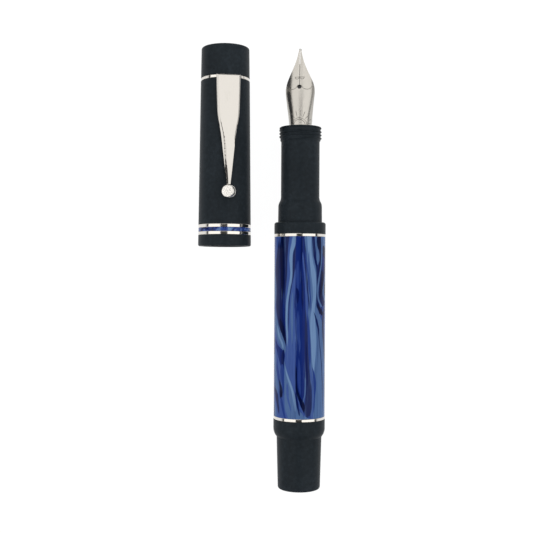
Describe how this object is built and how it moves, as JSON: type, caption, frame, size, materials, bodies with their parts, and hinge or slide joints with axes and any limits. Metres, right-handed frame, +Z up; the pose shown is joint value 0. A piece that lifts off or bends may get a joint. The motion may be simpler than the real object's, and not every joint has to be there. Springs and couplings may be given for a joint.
{
  "type": "fountain pen",
  "caption": "Uncapped fountain pen with a marbled blue barrel, black grip section and steel nib, lying beside its clipped black cap; twist converter inside.",
  "frame": {"origin": "on the table, under the middle of the outline of pen and cap together", "axes": "+Y along the pen towards the nib, +Z up from the table, +X from the cap towards the pen"},
  "size_m": [0.0378, 0.1303, 0.0188],
  "materials": {
    "black_resin": "matt turned black resin",
    "marbled_acrylic": "polished, streaked in light and dark blue",
    "trim_metal": "polished plating",
    "nib_steel": "polished steel, lightly engraved",
    "feed_plastic": "satin moulded",
    "seal_rubber": "matt",
    "clear_plastic": "clear moulded",
    "converter_plastic": "moulded"
  },
  "bodies": {
    "barrel": {"tail": "black_resin", "rear_trim_ring": "trim_metal", "barrel_sleeve": "marbled_acrylic", "front_trim_ring": "trim_metal", "front_collar": "black_resin"},
    "front_unit": {"section": "black_resin", "section_seal": "seal_rubber", "nib_housing": "feed_plastic", "feed": "feed_plastic", "nib": "nib_steel", "nib_tip": "nib_steel"},
    "converter": {"converter_mouth": "converter_plastic", "converter_tube": "clear_plastic", "converter_band": "trim_metal", "rod_guide": "converter_plastic"},
    "converter_screw": {"converter_knob": "converter_plastic", "drive_nut": "converter_plastic"},
    "piston": {"piston_head": "converter_plastic", "piston_seal": "seal_rubber", "piston_rod": "converter_plastic"},
    "cap": {"cap_lip": "black_resin", "cap_lower_band": "trim_metal", "cap_inlay_band": "marbled_acrylic", "cap_upper_band": "trim_metal", "cap_tube": "black_resin", "inner_cap": "feed_plastic", "clip_ring": "trim_metal", "crown": "black_resin"},
    "clip": {"clip_strip": "trim_metal", "clip_ball": "trim_metal"}
  },
  "joints": [
    {"name": "cap_carry", "type": "slide", "parent": "barrel", "child": "cap", "axis": [0.1768, 0.9842, 0], "range_m": [0, 0.12644]},
    {"name": "clip_flex", "type": "hinge", "parent": "cap", "child": "clip", "pos_m": [-0.01005, 0.05561, 0.01377], "axis": [-0.9877, 0.0018, 0.1564], "range_deg": [0, 3.5], "stiffness_Nm_per_rad": 3},
    {"name": "section_draw", "type": "slide", "parent": "barrel", "child": "front_unit", "axis": [0, 1, 0], "range_m": [0, 0.062]},
    {"name": "converter_pull", "type": "slide", "parent": "front_unit", "child": "converter", "axis": [0, -1, 0], "range_m": [0, 0.006]},
    {"name": "converter_knob_turn", "type": "hinge", "parent": "converter", "child": "converter_screw", "pos_m": [0.01128, -0.03014, 0.00762], "axis": [0, 1, 0], "range_deg": [0, 2600]},
    {"name": "piston_travel", "type": "slide", "parent": "converter", "child": "piston", "axis": [0, -1, 0], "range_m": [0, 0.018]}
  ],
  "couplings": [
    {"joint": "converter_knob_turn", "follows": "piston_travel", "rad_per_m": 2513.3}
  ]
}
